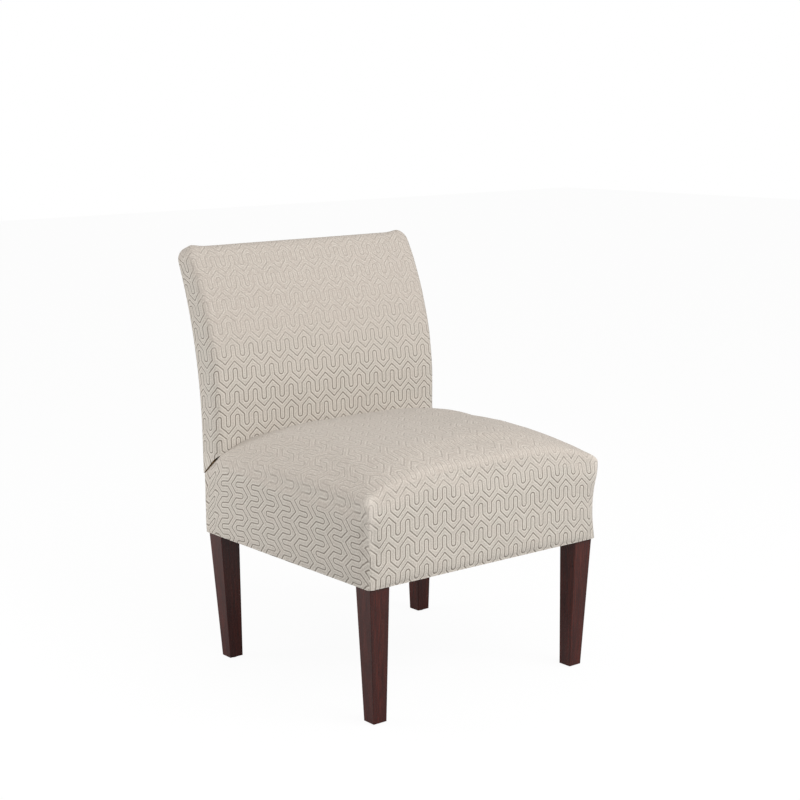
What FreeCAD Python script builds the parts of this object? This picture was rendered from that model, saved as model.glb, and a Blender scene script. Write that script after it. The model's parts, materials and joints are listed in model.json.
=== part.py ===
import FreeCAD, Part
import math
import os
import re

import Sketcher

# Armless slipper chair: a box seat with a crowned cushion on four tapered legs,
# and a swept back panel that stands on the rear ledge of the seat.
# Millimetres, +Z up, front of the chair towards -Y, origin on the floor under the middle.

doc = FreeCAD.newDocument("slipper_chair")

# Driving dimensions, one name each. Rises are measured up from the rear ledge of the seat.
SIZES = {
    "SeatWidth": 560,
    "SeatDepth": 550,
    "LedgeDepth": 56,
    "LegHeight": 261,
    "LegTop": 44,
    "LegFoot": 30,
    "LegEase": 1.5,
    "GlideHeight": 3,
    "GlideRadius": 9,
    "RailHeight": 106,
    "RailThickness": 22,
    "BlockReach": 90,
    "BlockHeight": 40,
    "BoltRadius": 4,
    "BoltDepth": 42,
    "BoltStandOut": 9,
    "NutRadius": 7.5,
    "NutHeight": 6.5,
    "FitGap": 0.1,
    "LayerGap": 0.3,
    "CoverThickness": 1.2,
    "BattingThickness": 4.2,
    "FlangeWidth": 20,
    "LegSlack": 0.5,
    "DustCoverThickness": 0.6,
    "DustCoverMargin": 12,
    "WebbingWidth": 50,
    "WebbingThickness": 1.6,
    "WebbingLap": 18,
    "CrossingMargin": 4,
    "DeckingThickness": 0.8,
    "DeckingMargin": 8,
    "FrontSideRise": 35.5,
    "FrontCrown": 43,
    "FrontShoulder": 140,
    "FullSideRise": 51.5,
    "FullCrown": 60.5,
    "RearShoulder": 164,
    "RearSideRise": 44.5,
    "RearCrown": 37,
    "CrownRadius": 1600,
    "CrownEdgeRadius": 150,
    "BackOverhang": 10,
    "FrontCurveRadius": 580,
    "FrontCurveRise": 140,
    "RearCurveRadius": 930,
    "RearCurveRise": 70,
    "BackRise": 440,
    "TopFall": 17,
    "TopRound": 18,
    "BackEdgeRound": 12,
    "BackFoamThickness": 18,
    "LinerThickness": 3,
    "StileThickness": 22,
    "FrameTopDrop": 26,
    "LowerRailHeight": 60,
    "CrestRailHeight": 60,
    "CrestRailThickness": 16,
    "CrestRailDrop": 4,
    "MiddleRailHeight": 50,
    "MiddleRailThickness": 18,
    "RailSetback": 1,
    "BackWebbingStart": 90,
    "BackWebbingEnd": 28,
    "BackWebbingLap": 20,
    "PlateInset": 104,
    "PlateWidth": 40,
    "PlateThickness": 3,
    "PlateDrop": 75,
    "PlateRise": 58,
    "ScrewRadius": 3,
    "ScrewLength": 16,
    "ScrewHeadRadius": 6,
    "ScrewHeadHeight": 1.5,
    "ScrewEndInset": 24,
}

# Sizes that follow from the driving ones.
FORMULAS = {
    "CushionDepth": "SeatDepth - LedgeDepth",
    "FrameInset": "CoverThickness + BattingThickness + 2 * LayerGap",
    "FrameHalf": "SeatWidth / 2 - FrameInset",
    "InnerHalf": "FrameHalf - RailThickness",
    "FrameFront": "FrameInset",
    "FrameRear": "SeatDepth - FrameInset",
    "RailBase": "GlideHeight + LegHeight",
    "RailTop": "RailBase + RailHeight",
    "CoverBase": "RailBase - LayerGap - CoverThickness",
    "DeckHeight": "2 * WebbingThickness + 2 * LayerGap",
    "LedgeInnerTop": "RailTop + DeckHeight",
    "LedgeTop": "LedgeInnerTop + BattingThickness + LayerGap + CoverThickness",
    "FoamBase": "LedgeInnerTop + DeckingThickness + LayerGap",
    "BackBase": "LedgeTop + LayerGap",
    "BackFront": "CushionDepth + LayerGap",
    "BackRear": "SeatDepth + BackOverhang",
    "FrontCentreY": "BackFront + FrontCurveRadius",
    "FrontCentreZ": "LedgeTop + FrontCurveRise",
    "RearCentreY": "BackRear + RearCurveRadius",
    "RearCentreZ": "LedgeTop + RearCurveRise",
    "TopFrontZ": "LedgeTop + BackRise",
    "TopRearZ": "TopFrontZ - TopFall",
    "FrameTopRise": "BackRise - FrameTopDrop",
    "FrameTopZ": "LedgeTop + FrameTopRise",
    "CrestRailRise": "FrameTopRise - CrestRailDrop - CrestRailHeight / 2",
    "MiddleRailRise": "(LowerRailHeight + CrestRailRise) / 2",
    "TopFrontY": "FrontCentreY - sqrt((FrontCurveRadius - TopRound)^2 - (TopFrontZ - FrontCentreZ)^2)",
    "TopRearY": "RearCentreY - sqrt((RearCurveRadius + TopRound)^2 - (TopRearZ - RearCentreZ)^2)",
    "PlateAcross": "FrameHalf - PlateInset",
    "OverallDepth": "TopRearY + TopRound",
    "SeatFront": "-OverallDepth / 2",
    "FoamBack": "FrameInset + BackFoamThickness",
    "StileFrontInset": "FoamBack + LayerGap + WebbingThickness",
    "StileRearInset": "CoverThickness + LinerThickness + 2 * LayerGap",
    "StileEase": "BackEdgeRound + CoverThickness + 2 * LayerGap - FrameInset - StileRearInset",
    "RailCurveRadius": "FrontCurveRadius - StileFrontInset - RailSetback",
    "CrestRailTurn": "asin((CrestRailRise - FrontCurveRise) / RailCurveRadius)",
    "MiddleRailTurn": "asin((MiddleRailRise - FrontCurveRise) / RailCurveRadius)",
}


def make_sheet():
    sheet = doc.addObject("Spreadsheet::Sheet", "Sizes")
    row = 1
    for name, value in SIZES.items():
        sheet.set("A%d" % row, name)
        sheet.set("B%d" % row, str(value))
        sheet.setAlias("B%d" % row, name)
        row += 1
    for name, formula in FORMULAS.items():
        sheet.set("A%d" % row, name)
        sheet.set("B%d" % row, "=" + formula)
        sheet.setAlias("B%d" % row, name)
        row += 1
    doc.recompute()
    return sheet


sheet = make_sheet()


def size(name):
    return float(getattr(sheet, name))


def sized(formula):
    """Sheet names in a formula, written as references to the sheet."""
    return re.sub(r"\b([A-Z][A-Za-z]+)\b", r"Sizes.\1", str(formula))


work = doc.addObject("Spreadsheet::Sheet", "Work")


def number(formula):
    """The value that a formula of sheet names has now."""
    work.set("A1", "=" + sized(formula))
    work.recompute()
    return float(work.get("A1"))


def bind(item, place, formula):
    item.setExpression(place, sized(formula))


def origin_plane(body, role):
    return [plane for plane in body.Origin.OriginFeatures if plane.Role == role][0]


def new_body(label):
    """A body whose own origin is at the front of the seat, on the floor."""
    body = doc.addObject("PartDesign::Body", label)
    body.Label = label
    bind(body, "Placement.Base.y", "SeatFront")
    return body


def new_sketch(body, role, lift=None):
    """A sketch on an origin plane of the body, lifted along the plane's normal."""
    sketch = body.newObject("Sketcher::SketchObject", body.Label + "_sketch")
    sketch.AttachmentSupport = [(origin_plane(body, role), "")]
    sketch.MapMode = "FlatFace"
    if lift is not None:
        bind(sketch, "AttachmentOffset.Base.z", lift)
    return sketch


def fix_point(sketch, curve, end, across=None, along=None):
    """Holds one end of a curve at formulas for its two sketch coordinates."""
    for kind, formula in (("DistanceX", across), ("DistanceY", along)):
        if formula is not None:
            index = sketch.addConstraint(Sketcher.Constraint(kind, -1, 1, curve, end, number(formula)))
            bind(sketch, "Constraints[%d]" % index, formula)


def fix_radius(sketch, curve, formula):
    index = sketch.addConstraint(Sketcher.Constraint("Radius", curve, number(formula)))
    bind(sketch, "Constraints[%d]" % index, formula)


def flat(across, along):
    return FreeCAD.Vector(across, along, 0)


def polar(centre, radius, angle):
    return flat(centre.x + radius * math.cos(angle), centre.y + radius * math.sin(angle))


def angle_from(centre, point):
    return math.atan2(point.y - centre.y, point.x - centre.x)


def arc_between(centre, radius, start, end):
    """A counter-clockwise arc for a sketch."""
    circle = Part.Circle(centre, FreeCAD.Vector(0, 0, 1), radius)
    return Part.ArcOfCircle(circle, start, end)


def draw_polygon(sketch, corners):
    """A closed outline with every corner held at its own two formulas."""
    points = [flat(number(across), number(along)) for across, along in corners]
    following = points[1:] + points[:1]
    lines = [sketch.addGeometry(Part.LineSegment(*ends), False) for ends in zip(points, following)]
    for line, next_line in zip(lines, lines[1:] + lines[:1]):
        sketch.addConstraint(Sketcher.Constraint("Coincident", line, 2, next_line, 1))
    for line, (across, along) in zip(lines, corners):
        fix_point(sketch, line, 1, across, along)


def rectangle(low_across, high_across, low_along, high_along):
    return [
        (low_across, low_along),
        (high_across, low_along),
        (high_across, high_along),
        (low_across, high_along),
    ]


def draw_circle(sketch, across, along, radius):
    centre = flat(number(across), number(along))
    circle = Part.Circle(centre, FreeCAD.Vector(0, 0, 1), number(radius))
    curve = sketch.addGeometry(circle, False)
    fix_point(sketch, curve, 3, across, along)
    fix_radius(sketch, curve, radius)


def extrude(body, kind, sketch, length, backwards=False, middle=False):
    """A Pad or Pocket of a sketch. A Pocket that takes nothing away is an error."""
    before = body.Tip.Shape.Volume if kind == "Pocket" else 0
    feature = body.newObject("PartDesign::" + kind, body.Label + "_" + kind.lower())
    feature.Profile = (sketch, [""])
    feature.Type = "Length"
    feature.SideType = "Symmetric" if middle else "One side"
    bind(feature, "Length", length)
    feature.Reversed = backwards
    body.Tip = feature
    doc.recompute()
    if kind == "Pocket" and feature.Shape.Volume >= before:
        raise RuntimeError("%s takes nothing away" % feature.Name)
    return feature


def ease_edges(body, kind, amount, chosen):
    """A Fillet or Chamfer on the edges of the tip that the test function picks."""
    base = body.Tip
    picked = ["Edge%d" % (index + 1) for index, edge in enumerate(base.Shape.Edges) if chosen(edge)]
    ease = body.newObject("PartDesign::" + kind, body.Label + "_ease")
    ease.Base = (base, picked)
    bind(ease, {"Fillet": "Radius", "Chamfer": "Size"}[kind], amount)
    body.Tip = ease
    doc.recompute()
    return ease


def place_at(item, place):
    """Puts an item's own origin at formulas for a place measured from the seat's front."""
    bind(item, "Placement.Base.x", place[0])
    bind(item, "Placement.Base.y", "SeatFront + " + place[1])
    bind(item, "Placement.Base.z", place[2])


def board(label, low, extent):
    """A straight board or sheet: a box from its low corner, given by formulas."""
    box = doc.addObject("Part::Box", label)
    box.Label = label
    for side, formula in zip(("Length", "Width", "Height"), extent):
        bind(box, side, formula)
    place_at(box, low)
    return box


def rod(label, foot, radius, length, turn=None):
    """A cylinder from its foot along +Z, or turned about X to point another way."""
    cylinder = doc.addObject("Part::Cylinder", label)
    cylinder.Label = label
    bind(cylinder, "Radius", radius)
    bind(cylinder, "Height", length)
    if turn is not None:
        cylinder.Placement.Rotation = FreeCAD.Rotation(FreeCAD.Vector(1, 0, 0), turn)
    place_at(cylinder, foot)
    return cylinder


def cut(label, base, tool):
    """The base less the tool. A cut that takes nothing away is an error."""
    result = doc.addObject("Part::Cut", label)
    result.Label = label
    result.Base = base
    result.Tool = tool
    doc.recompute()
    if result.Shape.Volume >= base.Shape.Volume:
        raise RuntimeError("%s takes nothing away" % label)
    return result


def common(label, base, tool):
    result = doc.addObject("Part::Common", label)
    result.Label = label
    result.Base = base
    result.Tool = tool
    doc.recompute()
    return result


def group(label, members):
    """Like fasteners kept as one group of separate solids."""
    result = doc.addObject("Part::Compound", label)
    result.Label = label
    result.Links = members
    doc.recompute()
    return result


# The frame's four outer corners, anticlockwise seen from above: the place of each,
# and the directions that lead from it into the frame.
CORNERS = {
    "front_left": ("-FrameHalf", "FrameFront", "+", "+"),
    "front_right": ("FrameHalf", "FrameFront", "-", "+"),
    "rear_right": ("FrameHalf", "FrameRear", "-", "-"),
    "rear_left": ("-FrameHalf", "FrameRear", "+", "-"),
}


def stand_at_corner(item, corner, lift="0"):
    """Turns and places a piece that is drawn with its corner at its own origin."""
    across, along, _, _ = CORNERS[corner]
    quarter_turns = list(CORNERS).index(corner)
    turn = math.degrees(quarter_turns * math.pi / 2)
    item.Placement.Rotation = FreeCAD.Rotation(FreeCAD.Vector(0, 0, 1), turn)
    place_at(item, (across, along, lift))


def corner_point(corner, reach):
    """A point at the same distance in from both frame faces at a corner."""
    across, along, inward_x, inward_y = CORNERS[corner]
    return (
        "%s %s (%s)" % (across, inward_x, reach),
        "%s %s (%s)" % (along, inward_y, reach),
    )


# Distance of the leg bolt and of the middle of the foot from the frame's outer faces.
BOLT_REACH = "(RailThickness + LegTop) / 2"
FOOT_REACH = "LegTop - LegFoot / 2"


def make_leg(corner):
    """A square leg that tapers on its two outer faces, bored for its bolt."""
    body = new_body("leg_" + corner)
    head = new_sketch(body, "XY_Plane")
    draw_polygon(head, rectangle("0", "LegTop", "0", "LegTop"))
    extrude(body, "Pad", head, "LegHeight")
    for side in ("XZ_Plane", "YZ_Plane"):
        sawn = new_sketch(body, side)
        draw_polygon(sawn, [("0", "0"), ("LegTop - LegFoot", "0"), ("0", "LegHeight")])
        extrude(body, "Pocket", sawn, "2 * LegTop", middle=True)
    tall = size("LegHeight") / 2
    ease_edges(body, "Fillet", "LegEase", lambda edge: edge.Length > tall)
    bolt = new_sketch(body, "XY_Plane", "LegHeight")
    draw_circle(bolt, BOLT_REACH, BOLT_REACH, "BoltRadius + FitGap")
    extrude(body, "Pocket", bolt, "BoltDepth")
    stand_at_corner(body, corner, "GlideHeight")
    return body


def make_glides():
    """A round nylon glide under each leg."""
    glides = []
    for corner in CORNERS:
        across, along = corner_point(corner, FOOT_REACH)
        glides.append(rod("glide_" + corner, (across, along, "0"), "GlideRadius", "GlideHeight"))
    return group("leg_glides", glides)


def make_corner_block(corner):
    """A triangular block glued into a corner of the frame, bored for the leg bolt."""
    body = new_body("corner_block_" + corner)
    outline = new_sketch(body, "XY_Plane")
    inner = "RailThickness"
    far = "RailThickness + BlockReach"
    draw_polygon(outline, [(inner, inner), (far, inner), (inner, far)])
    extrude(body, "Pad", outline, "BlockHeight")
    hole = new_sketch(body, "XY_Plane", "BlockHeight")
    draw_circle(hole, BOLT_REACH, BOLT_REACH, "BoltRadius + FitGap")
    extrude(body, "Pocket", hole, "BlockHeight")
    stand_at_corner(body, corner, "RailBase")
    return body


def make_leg_bolts():
    bolts = []
    for corner in CORNERS:
        across, along = corner_point(corner, BOLT_REACH)
        foot = (across, along, "RailBase - BoltDepth + FitGap")
        length = "BoltDepth - FitGap + BlockHeight + BoltStandOut"
        bolts.append(rod("leg_bolt_" + corner, foot, "BoltRadius", length))
    return group("leg_bolts", bolts)


def make_leg_nuts():
    """A hexagon nut on each leg bolt, on top of its corner block."""
    nuts = []
    for corner in CORNERS:
        across, along = corner_point(corner, BOLT_REACH)
        foot = (across, along, "RailBase + BlockHeight")
        blank = doc.addObject("Part::Prism", "nut_blank_" + corner)
        blank.Polygon = 6
        bind(blank, "Circumradius", "NutRadius")
        bind(blank, "Height", "NutHeight")
        place_at(blank, foot)
        bore = rod("nut_bore_" + corner, foot, "BoltRadius + FitGap", "NutHeight")
        doc.recompute()
        nuts.append(cut("nut_" + corner, blank, bore))
    return group("leg_nuts", nuts)


def plate_screw_places():
    """Across and height formulas of the screws that hold the joining plates, one at each end."""
    places = []
    for across in ("-PlateAcross", "PlateAcross"):
        places.append((across, "LedgeTop - PlateDrop + ScrewEndInset"))
        places.append((across, "LedgeTop + PlateRise - ScrewEndInset"))
    return places


def plate_screw_rods(label, radius, start, length):
    """One rod for each plate screw, from the rear towards the front."""
    rods = []
    for index, (across, height) in enumerate(plate_screw_places()):
        rods.append(rod("%s_%d" % (label, index + 1), (across, start, height), radius, length, turn=90))
    return rods


# The rear face of the joining plates, where the screw heads bear.
PLATE_FACE = "FrameRear + PlateThickness"


def make_seat_rails():
    """Four rails, the side ones butted between the front and rear ones."""
    width = "2 * FrameHalf"
    front = board("rail_front", ("-FrameHalf", "FrameFront", "RailBase"), (width, "RailThickness", "RailHeight"))
    side_extent = ("RailThickness", "FrameRear - FrameFront - 2 * RailThickness", "RailHeight")
    side_start = "FrameFront + RailThickness"
    left = board("rail_left", ("-FrameHalf", side_start, "RailBase"), side_extent)
    right = board("rail_right", ("InnerHalf", side_start, "RailBase"), side_extent)
    blank_low = ("-FrameHalf", "FrameRear - RailThickness", "RailBase")
    blank = board("rail_rear_blank", blank_low, (width, "RailThickness", "RailHeight"))
    rear = cut("rail_rear", blank, pilot_holes("rail_rear_pilots"))
    return [front, left, right, rear]


def pilot_holes(label):
    """The holes that the plate screws need in the rails behind the plates."""
    holes = plate_screw_rods(label, "ScrewRadius + FitGap", PLATE_FACE, "PlateThickness + ScrewLength")
    return group(label, holes)


# Strips of seat webbing each way, woven over and under one another.
LONG_STRIPS = 4
CROSS_STRIPS = 4


def woven_strip(label, start, opening, others, first_level, turned, middle):
    """One strip laid across the frame opening, over or under each strip it meets.

    start is where the opening begins, others is how many strips cross it,
    first_level is 1 where it passes over the first of them, and middle is where
    its own centre line lies. A turned strip runs across the chair.
    """
    thickness = size("WebbingThickness")
    step = thickness + size("LayerGap")
    clear = size("WebbingWidth") / 2 + size("CrossingMargin")
    lap = size("WebbingLap")
    pitch = opening / (others + 1)
    path = [(start - lap, 0), (start, 0)]
    for index in range(others):
        level = (first_level + index) % 2 * step
        crossing = start + pitch * (index + 1)
        path += [(crossing - clear, level), (crossing + clear, level)]
    path += [(start + opening, 0), (start + opening + lap, 0)]
    outline = path + [(along, height + thickness) for along, height in reversed(path)]
    edge = middle - size("WebbingWidth") / 2
    if turned:
        points = [FreeCAD.Vector(along, edge, height) for along, height in outline]
        sweep = FreeCAD.Vector(0, size("WebbingWidth"), 0)
    else:
        points = [FreeCAD.Vector(edge, along, height) for along, height in outline]
        sweep = FreeCAD.Vector(size("WebbingWidth"), 0, 0)
    strip = doc.addObject("Part::Feature", label)
    strip.Label = label
    strip.Shape = Part.Face(Part.makePolygon(points + points[:1])).extrude(sweep)
    bind(strip, "Placement.Base.y", "SeatFront")
    bind(strip, "Placement.Base.z", "RailTop")
    return strip


def make_seat_webbing():
    width = 2 * size("InnerHalf")
    front = size("FrameFront") + size("RailThickness")
    depth = size("FrameRear") - size("RailThickness") - front
    strips = []
    for index in range(LONG_STRIPS):
        middle = -width / 2 + width / (LONG_STRIPS + 1) * (index + 1)
        label = "seat_webbing_long_%d" % (index + 1)
        strips.append(woven_strip(label, front, depth, CROSS_STRIPS, index % 2, False, middle))
    for index in range(CROSS_STRIPS):
        middle = front + depth / (CROSS_STRIPS + 1) * (index + 1)
        label = "seat_webbing_cross_%d" % (index + 1)
        strips.append(woven_strip(label, -width / 2, width, LONG_STRIPS, (index + 1) % 2, True, middle))
    return strips


def make_seat_decking():
    """Cloth over the webbing, under the foam."""
    low = ("DeckingMargin - FrameHalf", "FrameFront + DeckingMargin", "LedgeInnerTop")
    depth = "CushionDepth - FrameInset - FrameFront - DeckingMargin"
    return board("seat_decking", low, ("2 * (FrameHalf - DeckingMargin)", depth, "DeckingThickness"))


# Turns around the elliptical shoulders of the seat at which it has a cross-section.
SHOULDER_TURNS = (0, 20, 45, 65, 90)


def edge_arc_centre(crown_centre, distance, side_top, radius):
    """Centre of the arc that joins a crown arc, from inside it, to the top of a side."""
    reach = side_top - crown_centre
    along = (distance ** 2 - radius ** 2 + reach.Length ** 2) / (2 * reach.Length)
    aside = math.sqrt(distance ** 2 - along ** 2)
    reach.normalize()
    return crown_centre + reach * along + flat(-reach.y, reach.x) * aside


def crown_section(body, station, side_rise, crown, base, inset):
    """Cross-section of the seat at one station: straight sides, rounder edges, a flat crown."""
    sketch = new_sketch(body, "XZ_Plane", "-(%s)" % station)
    half = "(SeatWidth / 2 - (%s))" % inset
    side = "LedgeTop + %s - (%s)" % (side_rise, inset)
    crown_radius = "(CrownRadius - (%s))" % inset
    edge_radius = "(CrownEdgeRadius - (%s))" % inset
    centre_height = "%s + %s - %s" % (side, crown, crown_radius)
    low_right = flat(number(half), number(base))
    right = flat(low_right.x, number(side))
    crown_centre = flat(0, number(centre_height))
    flat_radius = number(crown_radius)
    round_radius = number(edge_radius)
    edge_centre = edge_arc_centre(crown_centre, flat_radius - round_radius, right, round_radius)
    low_turn = angle_from(edge_centre, right)
    high_turn = angle_from(crown_centre, edge_centre)
    low_left, left, other_centre = [flat(-point.x, point.y) for point in (low_right, right, edge_centre)]
    sketch.addGeometry(Part.LineSegment(low_left, low_right), False)
    sketch.addGeometry(Part.LineSegment(low_right, right), False)
    sketch.addGeometry(arc_between(edge_centre, round_radius, low_turn, high_turn), False)
    sketch.addGeometry(arc_between(crown_centre, flat_radius, high_turn, math.pi - high_turn), False)
    sketch.addGeometry(arc_between(other_centre, round_radius, math.pi - high_turn, math.pi - low_turn), False)
    sketch.addGeometry(Part.LineSegment(left, low_left), False)
    for first, second in ((0, 1), (1, 2), (4, 5), (5, 0)):
        sketch.addConstraint(Sketcher.Constraint("Coincident", first, 2, second, 1))
    for first, second in ((2, 3), (3, 4)):
        sketch.addConstraint(Sketcher.Constraint("Tangent", first, 2, second, 1))
    fix_point(sketch, 0, 1, "-" + half, base)
    fix_point(sketch, 1, 1, half, base)
    fix_point(sketch, 2, 1, half, side)
    fix_point(sketch, 5, 1, "-" + half, side)
    fix_point(sketch, 3, 3, "0", centre_height)
    fix_radius(sketch, 2, edge_radius)
    fix_radius(sketch, 3, crown_radius)
    fix_radius(sketch, 4, edge_radius)
    return sketch


def shoulder_stations(inset):
    """Where the seat's cross-sections stand, with the side rise and crown of each.

    Each end of the seat rises to the full height along a quarter of an ellipse.
    """
    stations = []
    for turn in SHOULDER_TURNS:
        eased = "%s + (%s - %s) * sin(%d deg)"
        rises = tuple(eased % (end, full, end, turn) for end, full in (
            ("FrontSideRise", "FullSideRise"),
            ("FrontCrown", "FullCrown"),
        ))
        place = "%s + (FrontShoulder - (%s)) * (1 - cos(%d deg))" % (inset, inset, turn)
        stations.append((place,) + rises)
    for turn in reversed(SHOULDER_TURNS):
        rises = tuple(eased % (end, full, end, turn) for end, full in (
            ("RearSideRise", "FullSideRise"),
            ("RearCrown", "FullCrown"),
        ))
        place = "CushionDepth - (%s) - (RearShoulder - (%s)) * (1 - cos(%d deg))" % (inset, inset, turn)
        stations.append((place,) + rises)
    return stations


def crown_loft(body, kind, base, inset):
    """The crowned seat block, drawn in by an inset on its front, rear, sides and top."""
    sections = [
        crown_section(body, place, side, crown, base, inset) for place, side, crown in shoulder_stations(inset)
    ]
    before = body.Tip.Shape.Volume if body.Tip else 0
    loft = body.newObject("PartDesign::" + kind, body.Label + "_crown")
    loft.Profile = (sections[0], [""])
    loft.Sections = [(section, [""]) for section in sections[1:]]
    loft.Ruled = True
    body.Tip = loft
    doc.recompute()
    if kind == "SubtractiveLoft" and loft.Shape.Volume >= before:
        raise RuntimeError("%s takes nothing away" % loft.Name)
    return loft


def leg_openings(sketch):
    """Four squares, each a little larger than a leg's head."""
    near = "FrameHalf + LegSlack"
    far = "FrameHalf - LegTop - LegSlack"
    front = ("FrameFront - LegSlack", "FrameFront + LegTop + LegSlack")
    rear = ("FrameRear - LegTop - LegSlack", "FrameRear + LegSlack")
    for low_along, high_along in (front, rear):
        draw_polygon(sketch, rectangle("-(%s)" % near, "-(%s)" % far, low_along, high_along))
        draw_polygon(sketch, rectangle(far, near, low_along, high_along))


def make_seat_foam():
    body = new_body("seat_foam")
    crown_loft(body, "AdditiveLoft", "FoamBase", "CoverThickness + LayerGap")
    return body


def make_seat_batting():
    """Wadding between the rails and the cover, round the front and the two sides."""
    body = new_body("seat_batting")
    outer = "CoverThickness + LayerGap"
    inner = "(FrameInset - LayerGap)"
    left, right = "%s - SeatWidth / 2" % outer, "SeatWidth / 2 - (%s)" % outer
    inner_left, inner_right = "%s - SeatWidth / 2" % inner, "SeatWidth / 2 - %s" % inner
    outline = new_sketch(body, "XY_Plane", "RailBase")
    draw_polygon(outline, [
        (left, outer),
        (right, outer),
        (right, "FrameRear"),
        (inner_right, "FrameRear"),
        (inner_right, inner),
        (inner_left, inner),
        (inner_left, "FrameRear"),
        (left, "FrameRear"),
    ])
    extrude(body, "Pad", outline, "RailHeight")
    return body


def make_ledge_batting():
    """Wadding on the rear rail, under the ledge that the back stands on."""
    low = ("CoverThickness + LayerGap - SeatWidth / 2", "CushionDepth", "LedgeInnerTop")
    width = "SeatWidth - 2 * (CoverThickness + LayerGap)"
    depth = "FrameRear - CushionDepth"
    return board("ledge_batting", low, (width, depth, "BattingThickness"))


def make_seat_cover():
    """The fitted cover: a crowned shell turned under the rails, cut out around the legs.

    Behind the crown it is a low ledge, slotted for the plates that hold the back.
    """
    body = new_body("seat_cover")
    crown_loft(body, "AdditiveLoft", "CoverBase", "0")
    half = "SeatWidth / 2"
    ledge = new_sketch(body, "XY_Plane", "CoverBase")
    draw_polygon(ledge, rectangle("-" + half, half, "CushionDepth - RearShoulder", "SeatDepth"))
    extrude(body, "Pad", ledge, "LedgeTop - CoverBase")
    floor = "CoverBase + CoverThickness"
    crown_loft(body, "SubtractiveLoft", floor, "CoverThickness")
    half = "(SeatWidth / 2 - CoverThickness)"
    hollow = new_sketch(body, "XY_Plane", "LedgeTop - CoverThickness")
    rear = "SeatDepth - CoverThickness"
    draw_polygon(hollow, rectangle("-" + half, half, "CushionDepth - RearShoulder", rear))
    extrude(body, "Pocket", hollow, "LedgeTop - CoverThickness - (%s)" % floor)
    opening = new_sketch(body, "XY_Plane", floor)
    half = "(FrameHalf - FlangeWidth)"
    draw_polygon(opening, rectangle("-" + half, half, "FrameFront + FlangeWidth", "FrameRear - FlangeWidth"))
    extrude(body, "Pocket", opening, "CoverThickness")
    legs = new_sketch(body, "XY_Plane", floor)
    leg_openings(legs)
    extrude(body, "Pocket", legs, "CoverThickness")
    slots = new_sketch(body, "XY_Plane", "LedgeTop")
    reach = "(PlateWidth / 2 + LayerGap)"
    for side in ("-", ""):
        middle = side + "PlateAcross"
        spot = rectangle(
            "%s - %s" % (middle, reach),
            "%s + %s" % (middle, reach),
            "FrameRear - LayerGap",
            PLATE_FACE + " + LayerGap",
        )
        draw_polygon(slots, spot)
    extrude(body, "Pocket", slots, "CoverThickness")
    return body


def make_dust_cover():
    """Thin cloth under the seat, notched around the legs."""
    body = new_body("dust_cover")
    height = "CoverBase - LayerGap - DustCoverThickness"
    sheet_outline = new_sketch(body, "XY_Plane", height)
    half = "(SeatWidth / 2 - DustCoverMargin)"
    draw_polygon(sheet_outline, rectangle("-" + half, half, "DustCoverMargin", "SeatDepth - DustCoverMargin"))
    extrude(body, "Pad", sheet_outline, "DustCoverThickness")
    legs = new_sketch(body, "XY_Plane", "CoverBase - LayerGap")
    leg_openings(legs)
    extrude(body, "Pocket", legs, "DustCoverThickness")
    return body


def back_outline(sketch, inset, base):
    """Side outline of the back panel: swept front and rear curves under a rounded top."""
    front = "BackFront + (%s)" % inset
    rear = "BackRear - (%s)" % inset
    front_radius = "FrontCurveRadius - (%s)" % inset
    rear_radius = "RearCurveRadius + (%s)" % inset
    top_radius = "TopRound - (%s)" % inset
    front_centre = flat(size("FrontCentreY"), size("FrontCentreZ"))
    rear_centre = flat(size("RearCentreY"), size("RearCentreZ"))
    top_front = flat(size("TopFrontY"), size("TopFrontZ"))
    top_rear = flat(size("TopRearY"), size("TopRearZ"))
    bend = number(top_radius)
    low_front = flat(number(front), number(base))
    low_rear = flat(number(rear), number(base))
    curve_front = flat(low_front.x, front_centre.y)
    curve_rear = flat(low_rear.x, rear_centre.y)
    front_turn = angle_from(front_centre, top_front)
    rear_turn = angle_from(rear_centre, top_rear)
    top_turn = angle_from(top_front, top_rear) + math.pi / 2
    line_start = polar(top_front, bend, top_turn)
    line_end = polar(top_rear, bend, top_turn)
    sketch.addGeometry(Part.LineSegment(low_front, curve_front), False)
    sketch.addGeometry(arc_between(front_centre, number(front_radius), front_turn, math.pi), False)
    sketch.addGeometry(arc_between(top_front, bend, top_turn, front_turn), False)
    sketch.addGeometry(Part.LineSegment(line_start, line_end), False)
    sketch.addGeometry(arc_between(top_rear, bend, rear_turn - math.pi, top_turn), False)
    sketch.addGeometry(arc_between(rear_centre, number(rear_radius), rear_turn, math.pi), False)
    sketch.addGeometry(Part.LineSegment(curve_rear, low_rear), False)
    sketch.addGeometry(Part.LineSegment(low_rear, low_front), False)
    joints = [(0, 2, 1, 2), (1, 1, 2, 2), (2, 1, 3, 1), (3, 2, 4, 2), (4, 1, 5, 1), (5, 2, 6, 1)]
    for first, first_end, second, second_end in joints:
        sketch.addConstraint(Sketcher.Constraint("Tangent", first, first_end, second, second_end))
    sketch.addConstraint(Sketcher.Constraint("Coincident", 6, 2, 7, 1))
    sketch.addConstraint(Sketcher.Constraint("Coincident", 7, 2, 0, 1))
    sketch.addConstraint(Sketcher.Constraint("Vertical", 0))
    sketch.addConstraint(Sketcher.Constraint("Vertical", 6))
    fix_point(sketch, 0, 1, front, base)
    fix_point(sketch, 6, 2, rear, base)
    fix_point(sketch, 1, 3, None, "FrontCentreZ")
    fix_point(sketch, 2, 3, None, "TopFrontZ")
    fix_point(sketch, 4, 3, None, "TopRearZ")
    fix_point(sketch, 5, 3, None, "RearCentreZ")
    fix_radius(sketch, 1, front_radius)
    fix_radius(sketch, 2, top_radius)
    fix_radius(sketch, 4, top_radius)
    fix_radius(sketch, 5, rear_radius)


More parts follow.
